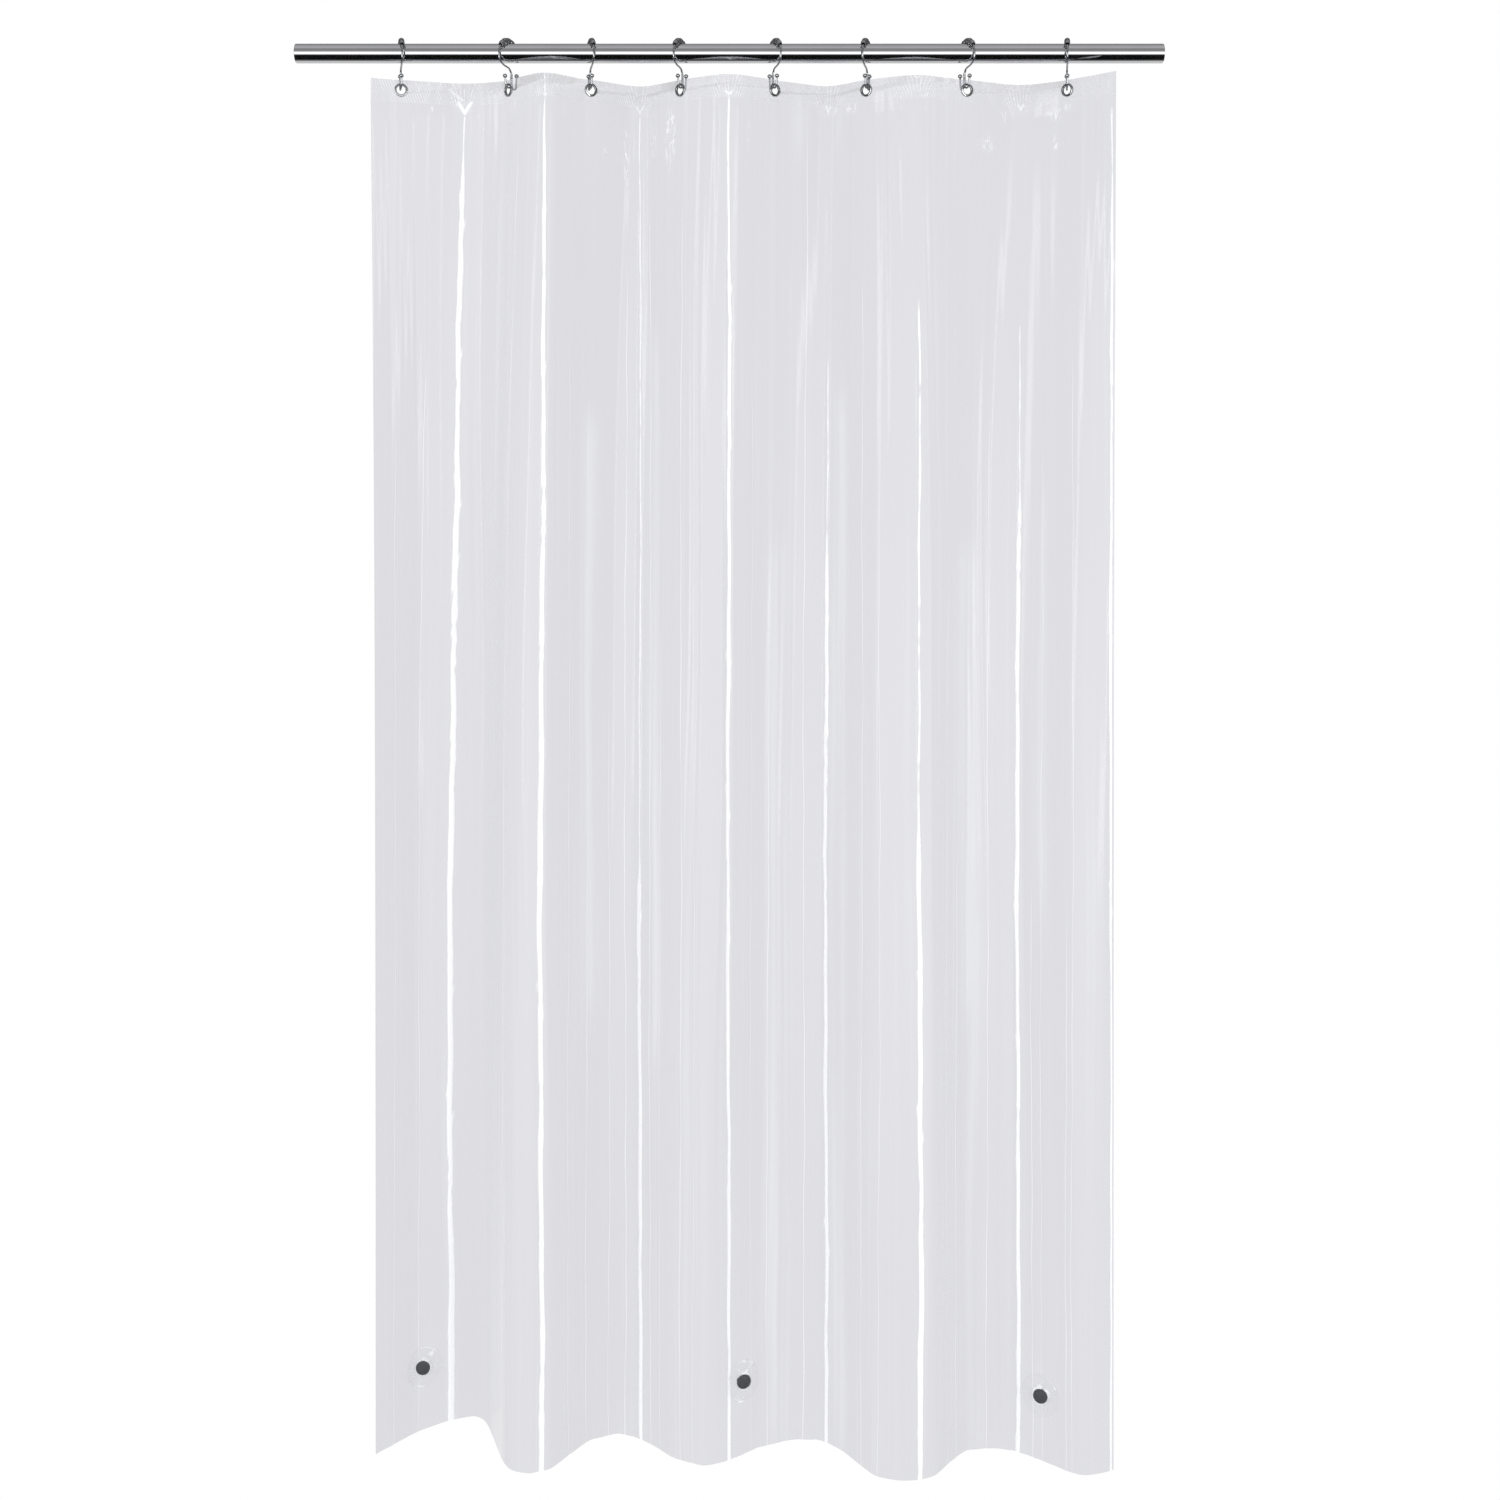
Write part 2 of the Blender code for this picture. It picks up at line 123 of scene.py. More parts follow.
class Nodes:
    """A node tree to which nodes are added one by one, each giving a Number."""

    def __init__(self, tree):
        self.tree = tree

    def feed(self, socket, value):
        if isinstance(value, Number):
            self.tree.links.new(value.socket, socket)
        elif socket.type == "RGBA" and len(value) == 3:
            socket.default_value = (*value, 1)
        else:
            socket.default_value = value

    def add(self, kind, settings=None, sockets=None, output=0):
        node = self.tree.nodes.new("ShaderNode" + kind)
        for name, value in (settings or {}).items():
            setattr(node, name, value)
        for name, value in (sockets or {}).items():
            self.feed(node.inputs[name], value)
        return None if output is None else Number(self, node.outputs[output])

    def mixed(self, share, first, second):
        """A colour between two others."""
        return self.add("Mix", {"data_type": "RGBA"}, {0: share, 6: first, 7: second}, 2)


MIDDLE = Vector((0, 0, -0.9))
SOFTBOX_HEIGHT = 2.6


def softbox(name, location, width, watts):
    """A tall soft light that faces the middle of the curtain."""
    lamp = bpy.data.lights.new(name, "AREA")
    lamp.shape, lamp.size, lamp.size_y, lamp.energy = "RECTANGLE", width, SOFTBOX_HEIGHT, watts
    made = bpy.data.objects.new(name, lamp)
    bpy.context.scene.collection.objects.link(made)
    made.location = location
    made.rotation_euler = (MIDDLE - made.location).to_track_quat("-Z", "Y").to_euler()


softbox("softbox_left", (-2.6, -2.6, -0.4), 0.5, 22)
softbox("softbox_right", (2.4, -2.9, -0.6), 0.4, 16)

world = bpy.data.worlds.new("studio")
bpy.context.scene.world = world
world.use_nodes = True
world.node_tree.nodes.clear()
sky = Nodes(world.node_tree)
direction = sky.add("TexCoord")
along, depth, height = (sky.add("SeparateXYZ", None, {0: direction}, n) for n in range(3))


def graded(height, stops):
    """Grey by height, from straight down at -1 to straight up at 1, for the given (height, grey) stops."""
    node = sky.add("ValToRGB", None, {"Fac": (height + 1) / 2})
    ramp = node.socket.node.color_ramp
    for z, _ in stops[1:-1]:
        ramp.elements.new((z + 1) / 2)
    for element, (z, grey) in zip(ramp.elements, stops):
        element.position, element.color = (z + 1) / 2, (grey, grey * 1.005, grey * 1.02, 1)
    return node


# Polished metal sees the rest of the studio: a white wall low in front, a dark floor that ends below
# the rod, a grey ceiling, and darkness at the sides.
in_front = graded(height, (
    (-1, 0.02), (-0.99, 0.002), (-0.58, 0.002), (-0.48, 0.02), (-0.36, 0.40), (-0.27, 1.0), (-0.05, 1.0),
    (0.03, 0.80), (0.17, 0.40), (0.34, 0.16), (0.50, 0.16), (0.73, 0.20), (0.88, 0.32), (1, 0.26),
))
at_back = graded(height, (
    (-1, 0.004), (-0.98, 0.02), (-0.87, 0.34), (-0.60, 0.60), (-0.30, 0.20), (0.0, 0.05), (0.6, 0.07),
    (0.85, 0.20), (1, 0.22),
))
at_sides = graded(height, ((-1, 0.05), (-0.4, 0.02), (0.0, 0.10), (0.3, 0.10), (0.8, 0.20), (1, 0.19)))
across = sky.mixed(depth.rise(-0.05, 0.12), in_front, at_back)
around = sky.mixed(along.size().rise(0.50, 0.85), across, at_sides)
seen = sky.add("Background", None, {"Color": around, "Strength": 1.55})
even = sky.add("Background", None, {"Color": (0.97, 0.98, 1), "Strength": 0.93})
blank = sky.add("Background", None, {"Color": (1, 1, 1), "Strength": 1.0})
glossy = sky.add("LightPath", output="Is Glossy Ray")
direct = sky.add("LightPath", output="Is Camera Ray")
indirect = sky.add("MixShader", None, {0: glossy, 1: even, 2: seen})
surface = sky.add("MixShader", None, {0: direct, 1: indirect, 2: blank})
sky.add("OutputWorld", None, {"Surface": surface}, None)

# ---------------------------------------------------------------- rod
# A straight round steel tube, one inch across, polished and chromed, with square-cut ends.
rod_low, rod_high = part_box("rod_tube")
ROD_RADIUS = rod_high.z
ROD_WALL = 0.0012
ROD_EDGE = 0.0003


class Finish(Nodes):
    """A material with one Principled shader, whose patterns are added node by node."""

    def __init__(self, name, **fixed):
        self.material = bpy.data.materials.new(name)
        self.material.use_nodes = True
        super().__init__(self.material.node_tree)
        self.shader = self.tree.nodes["Principled BSDF"]
        for socket, value in fixed.items():
            self.set(socket.replace("_", " "), value)

    def set(self, socket, value):
        self.feed(self.shader.inputs[socket], value)

    def place(self, scale, output="Object"):
        """Coordinates stretched by a scale for each axis."""
        at = self.add("TexCoord", output=output)
        return self.add("Mapping", {"vector_type": "POINT"}, {"Vector": at, "Scale": scale})

    def noise(self, scale, size, detail=2.0, output="Object", spread=0.5):
        where = self.place(scale, output)
        return self.add(
            "TexNoise", None, {"Vector": where, "Scale": size, "Detail": detail, "Roughness": spread}
        )

    def bump(self, height, strength, distance):
        made = self.add("Bump", None, {"Height": height, "Strength": strength, "Distance": distance})
        self.set("Normal", made)


def chrome(name, colour, roughness, grain):
    """Polished plating: its colour clouds a little, and fine wiping marks vary its roughness."""
    made = Finish(name, Metallic=1.0)
    cloud = made.noise((1, 1, 1), 35)
    wiped = made.noise(grain, 60, 4)
    made.set("Base Color", made.mixed(cloud, [c * 0.9 for c in colour], colour))
    made.set("Roughness", roughness + 0.09 * (wiped * cloud))
    made.bump(wiped, 0.04, 0.0004)
    return made.material


def turned(profile, steps, axis=(0, 0, 1), closed=True):
    """A bmesh of (radius, height) points turned about an axis through the origin."""
    shape = bmesh.new()
    axis = Vector(axis)
    out = Vector((0, 0, 1)) if axis.x else Vector((1, 0, 0))
    verts = [shape.verts.new(r * out + h * axis) for r, h in profile]
    pairs = zip(verts, verts[1:] + verts[:1]) if closed else zip(verts, verts[1:])
    edges = [shape.edges.new(pair) for pair in pairs]
    bmesh.ops.spin(
        shape, geom=verts + edges, cent=(0, 0, 0), axis=axis, angle=math.tau, steps=steps, use_merge=True
    )
    bmesh.ops.remove_doubles(shape, verts=shape.verts, dist=1e-6)
    bmesh.ops.recalc_face_normals(shape, faces=shape.faces)
    return shape


def finished(name, shape, material, sharp=35):
    """An object at the origin made of a bmesh, shaded smooth but for its sharp edges."""
    mesh = bpy.data.meshes.new(name)
    shape.to_mesh(mesh)
    shape.free()
    mesh.materials.append(material)
    mesh.shade_smooth()
    if sharp:
        mesh.set_sharp_from_angle(angle=math.radians(sharp))
    made = bpy.data.objects.new(name, mesh)
    bpy.context.scene.collection.objects.link(made)
    return made


inner = ROD_RADIUS - ROD_WALL
profile = [
    (ROD_RADIUS - ROD_EDGE, rod_low.x),
    (ROD_RADIUS, rod_low.x + ROD_EDGE),
    (ROD_RADIUS, rod_high.x - ROD_EDGE),
    (ROD_RADIUS - ROD_EDGE, rod_high.x),
    (inner, rod_high.x),
    (inner, rod_low.x),
]
rod_finish = chrome("rod_finish", (0.83, 0.83, 0.84), 0.05, (0.15, 6, 6))
rod = finished("chromed_rod", turned(profile, 96, (1, 0, 0)), rod_finish)
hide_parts("rod_tube")
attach(rod, "rod")

# ---------------------------------------------------------------- hooks
# Each hook is a plated wire that comes over the rod, runs down its front and back under it to a stem,
# and ends in a front hook. A second wire, welded to the stem, makes the back hook. Both end in balls.
LEAD_HOOK = 4
swivels = [joints["curtain_gather" if n == LEAD_HOOK else f"hook_{n}_swivel"] for n in range(1, 9)]
HOOK_X = [swivel["pos_m"][0] for swivel in swivels]
HOOK_YAW = [math.radians(a) for a in (15, -27, 15, -22, 21, -17, 21, -9)]
EYELET_Z = swivels[LEAD_HOOK - 1]["pos_m"][2]
WIRE = 0.0012
ARCH, ARCH_DROP = 0.021, 0.00425
STEM_Y, BEND_Y, BEND_Z = 0.0067, 0.0005, EYELET_Z + 0.00285
FRONT_BEND, BACK_BEND, WELD = 0.0062, 0.0049, 0.0019
FRONT_TIP_Z, BACK_TIP_Z, TIP_OUT, TIP_BALL = -0.0312, -0.0266, 0.0013, 0.0029
steel = chrome("hook_finish", (0.56, 0.57, 0.58), 0.10, (8, 8, 2))


def on_arch(angle):
    """A point on the arch, at an angle from its top towards the back."""
    return Vector((0, ARCH * math.sin(angle), ARCH * math.cos(angle) - ARCH_DROP))


def eased(a, b, c, d, count):
    """Points on the curve from a to d that b and c pull on, without a itself."""
    steps = [i / count for i in range(1, count + 1)]
    return [(1 - t) ** 3 * a + 3 * (1 - t) ** 2 * t * b + 3 * (1 - t) * t * t * c + t**3 * d for t in steps]


def hooked(middle, radius, count=20):
    """The half circle under a hook, with a negative radius where it turns towards the back."""
    centre = Vector((0, middle, BEND_Z + abs(radius)))
    turns = [math.pi * i / count for i in range(count + 1)]
    return [centre + Vector((0, radius * math.cos(t), -abs(radius) * math.sin(t))) for t in turns]


def drawn_wire(points, radius):
    """A round wire along points, as a bmesh with rounded joints and closed ends."""
    curve = bpy.data.curves.new("wire", "CURVE")
    curve.dimensions, curve.bevel_depth, curve.bevel_resolution, curve.use_fill_caps = "3D", radius, 4, True
    spline = curve.splines.new("POLY")
    spline.points.add(len(points) - 1)
    for point, place in zip(spline.points, points):
        point.co = (*place, 1)
    holder = bpy.data.objects.new("wire", curve)
    shape = bmesh.new()
    mesh = bpy.data.meshes.new_from_object(holder)
    shape.from_mesh(mesh)
    bpy.data.objects.remove(holder)
    bpy.data.curves.remove(curve)
    bpy.data.meshes.remove(mesh)
    bmesh.ops.remove_doubles(shape, verts=shape.verts, dist=1e-6)
    bmesh.ops.recalc_face_normals(shape, faces=shape.faces)
    return shape


ARCH_BACK, ARCH_FRONT = math.radians(75), math.radians(-95)
LONG_PULL, SHORT_PULL, STEM_PULL = 0.009, 0.005, 0.0045
arch = [on_arch(angle) for angle in np.linspace(ARCH_BACK, ARCH_FRONT, 33)]
neck, stem = Vector((0, -0.0015, -0.0188)), Vector((0, STEM_Y, -0.027))
down, back = Vector((0, -math.cos(ARCH_FRONT), math.sin(ARCH_FRONT))), Vector((0, 1, -0.12))
front_line = arch + eased(arch[-1], arch[-1] + LONG_PULL * down, neck - LONG_PULL * back, neck, 14)
front_line += eased(neck, neck + SHORT_PULL * back, stem + Vector((0, 0, STEM_PULL)), stem, 10)
front_line += hooked(BEND_Y, FRONT_BEND)
front_line += [Vector((0, STEM_Y - 2 * FRONT_BEND - TIP_OUT, FRONT_TIP_Z))]
leg = STEM_Y + WELD
BACK_START_Z = -0.0238
back_line = [Vector((0, STEM_Y, BACK_START_Z)), Vector((0, leg, stem.z - WIRE))]
back_line += hooked(leg + BACK_BEND, -BACK_BEND)
back_line += [Vector((0, leg + 2 * BACK_BEND + TIP_OUT, BACK_TIP_Z))]

# The arch carries five small barrel rollers, threaded loose on the wire, that run on top of the rod.
BEADS, BEAD_LENGTH, BEAD_GAP = 5, 0.0080, 0.0003
BEAD_RADIUS, BEAD_END, BEAD_BORE, BARREL_POWER = 0.00375, 0.0028, 0.0023, 0.55
bead_finish = chrome("roller_finish", (0.50, 0.50, 0.51), 0.12, (9, 9, 9))
half = (BEAD_LENGTH - BEAD_GAP) / 2
last = math.acos((BEAD_END / BEAD_RADIUS) ** (1 / BARREL_POWER))
barrel = [
    (BEAD_RADIUS * math.cos(t) ** BARREL_POWER, half * math.sin(t) / math.sin(last))
    for t in np.linspace(-last, last, 15)
]
bead_profile = barrel + [(BEAD_BORE, half * 0.93), (BEAD_BORE, -half * 0.93)]

for number, (x, yaw) in enumerate(zip(HOOK_X, HOOK_YAW), 1):
    place = Matrix.Translation((x, 0, 0)) @ Matrix.Rotation(yaw, 4, "Z")
    for part, points in (("front", front_line), ("back", back_line)):
        shape = drawn_wire(points, WIRE)
        ball = Matrix.Translation(points[-1])
        bmesh.ops.create_uvsphere(shape, u_segments=28, v_segments=18, radius=TIP_BALL, matrix=ball)
        shape.transform(place)
        wire = finished(f"hook_{number}_{part}", shape, steel, 50)
        if part == "front":
            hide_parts(f"hook_{number}_wire")
        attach(wire, f"hook_{number}")
    rollers = bmesh.new()
    for i in range(BEADS):
        angle = (i - (BEADS - 1) / 2) * BEAD_LENGTH / ARCH
        bead = turned(bead_profile, 28)
        bead.transform(Matrix.Translation(on_arch(angle)) @ Matrix.Rotation(-math.pi / 2 - angle, 4, "X"))
        loose = bpy.data.meshes.new("bead")
        bead.to_mesh(loose)
        bead.free()
        rollers.from_mesh(loose)
        bpy.data.meshes.remove(loose)
    rollers.transform(place)
    beads = finished(f"hook_{number}_beads", rollers, bead_finish, 50)
    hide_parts(f"hook_{number}_rollers")
    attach(beads, f"rollers_{number}" if number == LEAD_HOOK else f"hook_{number}")

# ---------------------------------------------------------------- film
# One sheet of clear glossy film, cut 1.183 m wide and 1.829 m long. It hangs in a zigzag between its
# eyelets, and soft fold marks from its packing run down it. It is cut here at the eyelets into nine
# stretches.
PITCH, LEFT_MARGIN, RIGHT_MARGIN = 0.1524, 0.040, 0.0762
FLAT_WIDTH = LEFT_MARGIN + 7 * PITCH + RIGHT_MARGIN
FILM_LENGTH = 1.829
BAND_HEIGHT = 0.029
film_low, film_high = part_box("film_panel_4")
FILM_TOP, FILM_BOTTOM = film_high.z, film_low.z
LEFT_ANGLE, RIGHT_ANGLE = math.radians(20.4), math.radians(45)
# How far the film is turned from the rod at each eyelet, in degrees, and where each fold's crest stands.
EYELET_TURNS = (14, 50, 28, 43, 38, 36, 20, 43)
CREST_X = (-0.3567, -0.2412, -0.1215, -0.0002, 0.1345, 0.2482, 0.3936)
FLAT_AT_EYELET = 0.011
TOP_KEPT = 0.045
# Where the hem lies in plan, with how far it is lifted, from left to right, in millimetres.
HEM = (
    (-472, -12, 0), (-425, 44, 0), (-384, 57, 8), (-348, 58, 14), (-333, 56, 8), (-319, 28, 0),
    (-298, -30, 0), (-282, -49, 0), (-259, -54, 0), (-232, -42, 0), (-211, -8, 0), (-190, 23, 0),
    (-153, 40, 0), (-127, 31, 0), (-100, 9, 0), (-75, -18, 0), (-33, -37, 0), (-2, -25, 0),
    (41, 8, 0), (88, 26, 0), (125, 23, 0), (150, 0, 0), (172, -34, 0), (190, -58, -1),
    (222, -61, -5), (248, -61, -4), (269, -58, 0), (293, -25, 0), (314, -1, 0), (347, 5, 0),
    (381, -1, 0), (421, -30, 0), (445, -51, 0), (464, -58, 0), (489, -52, 0), (506, -43, 0),
)
HEM_CREASES = (-384, -245, -121, -1, 129, 249, 384)
STEP = 0.0005
SPARE = 0.05


def side(panel):
    """1 for a panel whose crest to the right lies behind the rod, -1 where it lies in front."""
    return 1 if panel % 2 else -1


def smoothed(values, width):
    """Values sampled every STEP, averaged over a rounded window of a width."""
    window = np.hanning(max(3, 2 * round(width / STEP / 2) + 1))
    padded = np.pad(values, len(window) // 2, mode="reflect", reflect_type="odd")
    return np.convolve(padded, window / window.sum(), mode="valid")


# A crest stands where the film on either side of it just reaches its hooks.
crests, CREASE_S = [], []
for number, x in enumerate(CREST_X, 1):
    left, right = x - HOOK_X[number - 1], HOOK_X[number] - x
    length = (PITCH + (left**2 - right**2) / PITCH) / 2
    crests.append(Vector((x, side(number) * math.sqrt(length**2 - left**2))))
    CREASE_S.append(LEFT_MARGIN + PITCH * (number - 1) + length)
stations, plan = [], []
for number, x in enumerate(HOOK_X, 1):
    eyelet = LEFT_MARGIN + PITCH * (number - 1)
    if number == 1:
        for length in (LEFT_MARGIN + SPARE, LEFT_MARGIN):
            stations.append(LEFT_MARGIN - length)
            plan.append((x - length * math.cos(LEFT_ANGLE), -side(number) * length * math.sin(LEFT_ANGLE)))
    turn = side(number) * math.radians(EYELET_TURNS[number - 1])
    for way in (-1, 1):
        stations.append(eyelet + way * FLAT_AT_EYELET)
        plan.append((x + way * FLAT_AT_EYELET * math.cos(turn), way * FLAT_AT_EYELET * math.sin(turn)))
    if number < 8:
        stations.append(CREASE_S[number - 1])
        plan.append(tuple(crests[number - 1]))
    else:
        for length in (RIGHT_MARGIN, RIGHT_MARGIN + SPARE):
            stations.append(eyelet + length)
            plan.append((x + length * math.cos(RIGHT_ANGLE), side(number) * length * math.sin(RIGHT_ANGLE)))
flat = np.arange(-SPARE, FLAT_WIDTH + SPARE, STEP)
EYELET_S = [LEFT_MARGIN + PITCH * n for n in range(8)]
off_crease = np.min([abs(flat - c) for c in CREASE_S], axis=0)
soft = np.exp(-((off_crease / 0.036) ** 2))
top = []
for axis in (0, 1):
    raw = np.interp(flat, stations, [p[axis] for p in plan])
    top.append(smoothed(raw, 0.085) * soft + smoothed(raw, 0.010) * (1 - soft))

# The hem follows its own plan. Equal lengths of film lie between its creases and those at the top.
hem_x, hem_y, hem_lift = (np.array(column) / 1000 for column in zip(*HEM))
fine = np.arange(hem_x[0], hem_x[-1] + STEP / 2, STEP)
hem_y, hem_lift = np.interp(fine, hem_x, hem_y), np.interp(fine, hem_x, hem_lift)
hem_y, hem_lift = (smoothed(v, 0.027) for v in (hem_y, hem_lift))
arc = np.concatenate([[0], np.cumsum(np.hypot(np.diff(fine), np.diff(hem_y)))])
pins = [0, *CREASE_S, FLAT_WIDTH]
pinned = [0, *np.interp(np.array(HEM_CREASES) / 1000, fine, arc), arc[-1]]
along = smoothed(np.interp(flat, pins, pinned), 0.04)
hem = [np.interp(along, arc, v) for v in (fine, hem_y, hem_lift)]


def rippled(s, z):
    """How far the film's fine upright waves lift it. They die away at the eyelets."""
    drift = 0.006 * np.sin(2.1 * z + 9 * s) + 0.003 * np.sin(6.7 * z + 31 * s)
    p = s + drift
    wave = 0.00045 * np.sin(p * 132) + 0.00032 * np.sin(p * 287 + 1.3) + 0.0002 * np.sin(p * 611 + 0.4)
    wave = wave * (0.55 + 0.45 * np.sin(17 * s + 1.9 * z))
    near = np.min([np.hypot(s - e, z - EYELET_Z) for e in EYELET_S], axis=0)
    return wave * np.clip((near - 0.012) / 0.03, 0, 1)


# The hem magnets, each with its panel, its place across the flat film and its height over the hem. A
# disc flattens the film around it, over a width and a height, by a share.
MAGNETS = {"left": (1, 0.0875, 0.086), "middle": (5, 0.6022, 0.0980), "right": (8, 1.0735, 0.086)}
FLAT_ACROSS, FLAT_UP, FLATTENED = 0.024, 0.040, 0.65
# A fold mark stands out at each crease. Each fold is pinched at the band's foot, and fanned above it.
MARK_HEIGHT, PINCH_HEIGHT, FAN_HEIGHT = 0.0009, 0.0035, 0.00022


def film_at(s, z, eased_flat=True):
    """Where the film's flat point (s, z) hangs. It lies flatter around the magnets if eased_flat."""
    s, z = np.broadcast_arrays(np.asarray(s, float), np.asarray(z, float))
    fall = np.clip((FILM_TOP - TOP_KEPT - z) / (FILM_LENGTH - TOP_KEPT), 0, 1)
    lower = 1 - (1 - fall) ** 3
    x = np.interp(s, flat, top[0]) * (1 - lower) + np.interp(s, flat, hem[0]) * lower
    y = np.interp(s, flat, top[1]) * (1 - lower) + np.interp(s, flat, hem[1]) * lower
    y = y + rippled(s, z)
    if eased_flat:
        for _, place, height in MAGNETS.values():
            level = FILM_BOTTOM + height
            ends = film_at(place + np.array([-0.5, 0.5]) * FLAT_ACROSS, level, False)
            slope = (ends[1, 1] - ends[0, 1]) / FLAT_ACROSS
            near = np.exp(-(((s - place) / FLAT_ACROSS) ** 2) - ((z - level) / FLAT_UP) ** 2)
            y = y - FLATTENED * slope * (s - place) * near
    above = z - FILM_TOP + BAND_HEIGHT
    for number, c in enumerate(CREASE_S, 1):
        d = s - c
        y = y - side(number) * MARK_HEIGHT * np.exp(-((d / 0.0035) ** 2)) * np.clip(fall * 9, 0, 1)
        pinch = np.exp(-((d / 0.011) ** 2) - (above / 0.007) ** 2)
        y = y - side(number) * PINCH_HEIGHT * pinch
        fan = np.sin(d / (0.55 + 0.45 * above / BAND_HEIGHT) * 1600)
        gathered = np.exp(-((d / 0.034) ** 2)) * np.clip((above + 0.003) / 0.012, 0, 1)
        y = y + FAN_HEIGHT * fan * gathered
    return np.stack([x, y, z + np.interp(s, flat, hem[2]) * fall**3], axis=-1)


def film_normal(s, z):
    """The film's normal at (s, z), towards the room."""
    e = 0.0004
    across = film_at(s + e, z) - film_at(s - e, z)
    up = film_at(s, z + e) - film_at(s, z - e)
    n = np.cross(across, up)
    return n / np.linalg.norm(n, axis=-1, keepdims=True)


# Painted highlights along the folds, one at each crease and one by the right edge: (start below the top
# edge, depth where it reaches its full width, thin and full half width).
CREASE_HIGHLIGHTS = (
    (0.041, 0.120, 0.0009, 0.0031), (0.000, 0.070, 0.0011, 0.0026), (0.040, 1.07, 0.0009, 0.0030),
    (0.026, 0.24, 0.0015, 0.0026), (0.37, 0.63, 0.0008, 0.0026), (0.30, 1.00, 0.0012, 0.0029),
    (0.33, 0.575, 0.0008, 0.0026), (0.045, 0.16, 0.0013, 0.0021),
)
MARK_S = [*CREASE_S, FLAT_WIDTH - 0.0066]
# Fine fold lines: (place across the flat film, start and end below the top edge, half width, strength).
LINES = (
    (0.037, 0.29, 1.83, 0.0006, 0.35), (0.080, 0.33, 1.83, 0.0007, 0.42), (0.217, 0.06, 1.83, 0.0008, 0.60),
    (0.212, 1.4, 1.83, 0.0005, 0.5), (0.313, 0.3, 1.83, 0.0005, 0.38), (0.348, 0.40, 1.83, 0.0010, 0.35),
    (0.380, 0.8, 1.83, 0.0007, 0.35), (0.402, 0.22, 1.83, 0.0007, 0.75), (0.443, 0.14, 1.83, 0.0008, 0.55),
    (0.463, 0.7, 1.83, 0.0006, 0.42), (0.503, 0.13, 1.83, 0.0007, 0.62), (0.523, 0.3, 1.83, 0.0005, 0.35),
    (0.616, 0.3, 1.83, 0.0005, 0.32), (0.645, 0.8, 1.83, 0.0006, 0.62), (0.702, 0.04, 1.83, 0.0007, 0.72),
    (0.800, 0.24, 1.83, 0.0007, 0.62), (0.828, 0.6, 1.83, 0.0005, 0.38), (0.925, 0.62, 1.83, 0.0006, 0.32),
    (0.948, 1.0, 1.83, 0.0007, 0.6), (0.998, 0.42, 1.83, 0.0006, 0.62), (1.060, 1.05, 1.83, 0.0007, 0.6),
    (1.074, 0.47, 1.83, 0.0006, 0.45), (1.112, 1.05, 1.83, 0.0006, 0.62), (1.120, 0.34, 1.83, 0.0006, 0.5),
)
# Painted sheen: soft bands where the film shines: (place, half width, start and end below the top edge,
# strength).
SHEEN_BANDS = (
    (0.349, 0.012, 0.45, 1.25, 0.55), (0.453, 0.011, 0.34, 1.3, 0.5), (0.660, 0.014, 0.62, 1.83, 0.55),
    (0.758, 0.011, 0.42, 1.83, 0.5), (0.966, 0.020, 0.62, 1.25, 0.55), (0.979, 0.009, 1.1, 1.83, 0.45),
    (1.071, 0.008, 0.56, 1.1, 0.4), (0.690, 0.016, 0.02, 0.09, 0.5), (0.757, 0.006, 0.036, 0.062, 0.9),
)
# Painted highlights where each fold's gathers pinch: (depth of the tip, half width, height, half thickness,
# strength).
PINCH_HIGHLIGHTS = (
    (0.040, 0.0090, 0.0140, 0.0025, 1.0), (0.029, 0.0024, 0.0030, 0.0011, 0.7),
    (0.037, 0.0072, 0.0108, 0.0009, 0.85), (0.026, 0.0046, 0.0040, 0.0015, 1.0),
    (0.037, 0.0036, 0.0090, 0.0010, 0.9), (0.004, 0.0036, 0.0024, 0.0010, 0.7),
    (0.035, 0.0044, 0.0090, 0.0011, 0.9),
)
# Crumples: (place across the film, depth below the top edge, half width, half height, strength).
CRUMPLES = (
    (0.480, 0.075, 0.011, 0.045, 0.95), (0.400, 0.100, 0.005, 0.040, 1.0),
    (0.366, 0.096, 0.005, 0.018, 0.6), (0.778, 0.034, 0.012, 0.009, 0.9),
    (0.986, 0.080, 0.014, 0.017, 0.7), (1.088, 0.043, 0.013, 0.009, 0.9),
    (1.108, 0.036, 0.008, 0.007, 0.9), (1.090, 0.082, 0.005, 0.014, 0.8),
    (1.012, 0.043, 0.006, 0.011, 0.8), (0.205, 0.035, 0.012, 0.013, 0.5),
    (0.081, 0.034, 0.003, 0.009, 0.6), (0.449, 0.070, 0.008, 0.042, 0.6),
    (0.607, 0.075, 0.005, 0.028, 0.5), (0.300, 0.045, 0.010, 0.012, 0.5),
    (0.560, 0.120, 0.006, 0.050, 0.4),
)
# The two ends of a glint beside the first fold: (place beside it, depth below the top edge).
GLINT = ((-0.021, 0.009), (-0.0035, 0.023))


def to_segment(x, y, a, b):
    """The distance of the points (x, y) from the line between a and b."""
    (ax, ay), (bx, by) = a, b
    share = np.clip(((x - ax) * (bx - ax) + (y - ay) * (by - ay)) / ((bx - ax) ** 2 + (by - ay) ** 2), 0, 1)
    return np.hypot(x - ax - share * (bx - ax), y - ay - share * (by - ay))


def wandering(s, z):
    """How far the painted crease highlights and fold lines stray sideways at a place."""
    slow = 0.0012 * np.sin(5.3 * z + 40 * s)
    return slow + 0.0006 * np.sin(17 * z + 90 * s) + 0.0004 * np.sin(41 * z + 7 * s)


def rise(value, start, end):
    """0 before start, 1 after end, and smooth between."""
    t = np.clip((value - start) / (end - start), 0, 1)
    return t * t * (3 - 2 * t)
